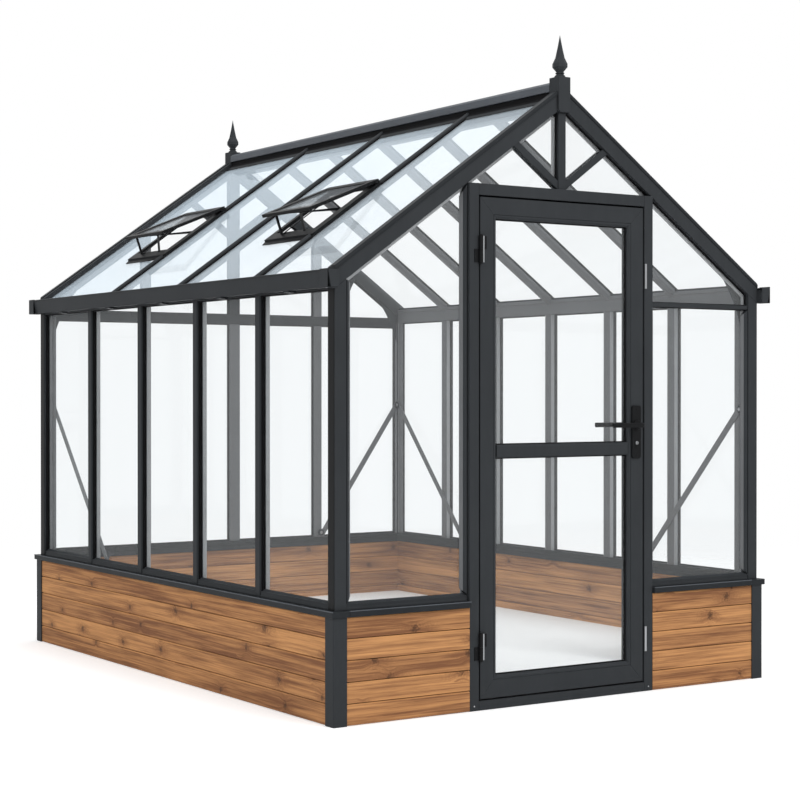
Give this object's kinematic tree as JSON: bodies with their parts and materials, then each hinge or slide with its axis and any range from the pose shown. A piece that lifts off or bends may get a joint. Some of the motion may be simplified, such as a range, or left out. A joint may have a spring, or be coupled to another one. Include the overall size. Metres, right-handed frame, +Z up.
{
  "type": "greenhouse",
  "caption": "Gabled aluminium greenhouse with clear glass on a boarded timber base, a hinged glazed door in one gable, open roof vents, side gutters and ridge finials.",
  "frame": {"origin": "middle of the footprint on the ground, under the floor slab", "axes": "+Z up, +Y along the ridge from the door gable to the rear gable, +X to the right as seen from outside the door"},
  "size_m": [2.18, 2.85, 2.6086],
  "materials": {
    "frame": "satin anthracite powder coat",
    "hardware": "satin black coat",
    "steel": "brushed",
    "timber": "stained softwood boards with open grain and knots",
    "glass": "clear toughened glass",
    "floor": "pale trowelled concrete"
  },
  "bodies": {
    "building": {"left_base_wall": "timber", "right_base_wall": "timber", "rear_base_wall": "timber", "front_base_walls": "timber", "base_corners": "frame", "floor_slab": "floor", "sill_caps": "frame", "sill_rails": "frame", "corner_posts": "frame", "left_mullions": "frame", "right_mullions": "frame", "rear_mullions": "frame", "king_posts": "frame", "gable_struts": "frame", "gable_ties": "frame", "wall_braces": "frame", "eave_beams": "frame", "gutters": "frame", "gutter_ends": "frame", "verge_rafters": "frame", "ridge_beam": "frame", "ridge_cap": "frame", "apex_blocks": "frame", "finials": "frame", "left_roof_bars": "frame", "right_roof_bars": "frame", "left_wall_glass": "glass", "right_wall_glass": "glass", "rear_wall_glass": "glass", "front_wall_glass": "glass", "left_roof_glass": "glass", "right_roof_glass": "glass", "vent_curbs": "frame", "vent_sashes": "frame", "vent_glass": "glass", "vent_hardware": "hardware", "door_frame": "frame", "frame_hinges": "hardware", "door_keeps": "steel"},
    "door": {"door_leaf": "frame", "door_glass": "glass", "door_hinges": "hardware", "handle_plates": "hardware"},
    "lever": {"door_lever": "hardware"}
  },
  "joints": [
    {"name": "door_swing", "type": "hinge", "parent": "building", "child": "door", "pos_m": [-0.4075, -1.393, 1], "axis": [0, 0, -1], "range_deg": [0, 100]},
    {"name": "lever_turn", "type": "hinge", "parent": "door", "child": "lever", "pos_m": [0.365, -1.39, 1.076], "axis": [0, -1, 0], "range_deg": [0, 40], "stiffness_Nm_per_rad": 1.5, "springref_deg": -11.46}
  ]
}
